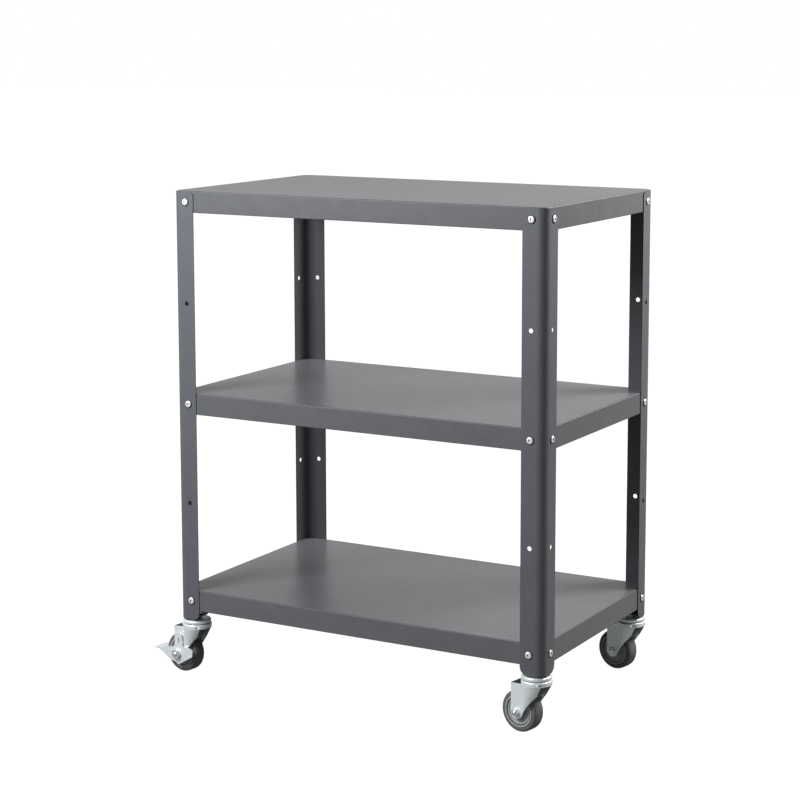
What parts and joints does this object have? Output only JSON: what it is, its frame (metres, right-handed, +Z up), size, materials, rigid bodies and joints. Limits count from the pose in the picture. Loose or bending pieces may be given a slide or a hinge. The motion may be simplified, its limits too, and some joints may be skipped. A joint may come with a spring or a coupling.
{
  "type": "tool cart",
  "caption": "Open three-shelf steel tool cart: folded pans bolted into angle posts, on swivel casters with pedal brakes on the left.",
  "frame": {"origin": "on the floor, under the middle of the whole cart's box with its casters trailing left; the frame's own middle is at x = 0.032", "axes": "+Z up, +X to the right seen from the front, front face towards -Y"},
  "size_m": [0.8317, 0.4673, 0.917],
  "materials": {
    "frame_paint": "dark slate grey powder coat, satin",
    "shelf_paint": "dark slate grey powder coat, satin",
    "bolt_zinc": "bright zinc plate",
    "washer_black": "black nylon, matt",
    "tyre_rubber": "dark grey thermoplastic rubber, matt",
    "hub_grey": "mid grey moulded plastic, matt",
    "caster_zinc": "blue-white bright zinc plate",
    "caster_steel": "zinc-plated steel"
  },
  "bodies": {
    "frame": {"shelf_top": "shelf_paint", "shelf_middle": "shelf_paint", "shelf_bottom": "shelf_paint", "shelf_bolts_top": "bolt_zinc", "shelf_bolts_middle": "bolt_zinc", "shelf_bolts_bottom": "bolt_zinc", "shelf_nuts_top": "bolt_zinc", "shelf_nuts_middle": "bolt_zinc", "shelf_nuts_bottom": "bolt_zinc", "bolt_washers": "washer_black", "post_front_left": "frame_paint", "caster_bracket_front_left": "frame_paint", "stem_nuts_front_left": "caster_steel", "caster_stem_front_left": "caster_steel", "race_cap_front_left": "caster_zinc", "post_front_right": "frame_paint", "caster_bracket_front_right": "frame_paint", "stem_nuts_front_right": "caster_steel", "caster_stem_front_right": "caster_steel", "race_cap_front_right": "caster_zinc", "post_back_left": "frame_paint", "caster_bracket_back_left": "frame_paint", "stem_nuts_back_left": "caster_steel", "caster_stem_back_left": "caster_steel", "race_cap_back_left": "caster_zinc", "post_back_right": "frame_paint", "caster_bracket_back_right": "frame_paint", "stem_nuts_back_right": "caster_steel", "caster_stem_back_right": "caster_steel", "race_cap_back_right": "caster_zinc"},
    "swivel_front_left": {"fork_front_left": "caster_zinc", "swivel_balls_front_left": "caster_steel", "axle_bolt_front_left": "caster_steel", "axle_nut_front_left": "caster_steel"},
    "wheel_front_left": {"tyre_front_left": "tyre_rubber", "wheel_hub_front_left": "hub_grey", "wheel_bush_front_left": "caster_steel"},
    "brake_front_left": {"brake_pedal_front_left": "caster_zinc"},
    "swivel_front_right": {"fork_front_right": "caster_zinc", "swivel_balls_front_right": "caster_steel", "axle_bolt_front_right": "caster_steel", "axle_nut_front_right": "caster_steel"},
    "wheel_front_right": {"tyre_front_right": "tyre_rubber", "wheel_hub_front_right": "hub_grey", "wheel_bush_front_right": "caster_steel"},
    "swivel_back_left": {"fork_back_left": "caster_zinc", "swivel_balls_back_left": "caster_steel", "axle_bolt_back_left": "caster_steel", "axle_nut_back_left": "caster_steel"},
    "wheel_back_left": {"tyre_back_left": "tyre_rubber", "wheel_hub_back_left": "hub_grey", "wheel_bush_back_left": "caster_steel"},
    "brake_back_left": {"brake_pedal_back_left": "caster_zinc"},
    "swivel_back_right": {"fork_back_right": "caster_zinc", "swivel_balls_back_right": "caster_steel", "axle_bolt_back_right": "caster_steel", "axle_nut_back_right": "caster_steel"},
    "wheel_back_right": {"tyre_back_right": "tyre_rubber", "wheel_hub_back_right": "hub_grey", "wheel_bush_back_right": "caster_steel"}
  },
  "joints": [
    {"name": "swivel_front_left", "type": "hinge", "parent": "frame", "child": "swivel_front_left", "pos_m": [-0.3245, -0.204, 0.1], "axis": [0, 0, 1], "continuous": true},
    {"name": "roll_front_left", "type": "hinge", "parent": "swivel_front_left", "child": "wheel_front_left", "pos_m": [-0.35421, -0.19983, 0.0375], "axis": [0.1392, 0.9903, 0], "continuous": true},
    {"name": "pedal_front_left", "type": "hinge", "parent": "swivel_front_left", "child": "brake_front_left", "pos_m": [-0.35421, -0.19983, 0.0375], "axis": [-0.1392, -0.9903, 0], "range_deg": [0, 10]},
    {"name": "swivel_front_right", "type": "hinge", "parent": "frame", "child": "swivel_front_right", "pos_m": [0.3885, -0.204, 0.1], "axis": [0, 0, 1], "continuous": true},
    {"name": "roll_front_right", "type": "hinge", "parent": "swivel_front_right", "child": "wheel_front_right", "pos_m": [0.35916, -0.19776, 0.0375], "axis": [0.2079, 0.9781, 0], "continuous": true},
    {"name": "swivel_back_left", "type": "hinge", "parent": "frame", "child": "swivel_back_left", "pos_m": [-0.3245, 0.204, 0.1], "axis": [0, 0, 1], "continuous": true},
    {"name": "roll_back_left", "type": "hinge", "parent": "swivel_back_left", "child": "wheel_back_left", "pos_m": [-0.35404, 0.20921, 0.0375], "axis": [0.1736, 0.9848, 0], "continuous": true},
    {"name": "pedal_back_left", "type": "hinge", "parent": "swivel_back_left", "child": "brake_back_left", "pos_m": [-0.35404, 0.20921, 0.0375], "axis": [-0.1736, -0.9848, 0], "range_deg": [0, 10]},
    {"name": "swivel_back_right", "type": "hinge", "parent": "frame", "child": "swivel_back_right", "pos_m": [0.3885, 0.204, 0.1], "axis": [0, 0, 1], "continuous": true},
    {"name": "roll_back_right", "type": "hinge", "parent": "swivel_back_right", "child": "wheel_back_right", "pos_m": [0.35927, 0.21075, 0.0375], "axis": [0.225, 0.9744, 0], "continuous": true}
  ]
}
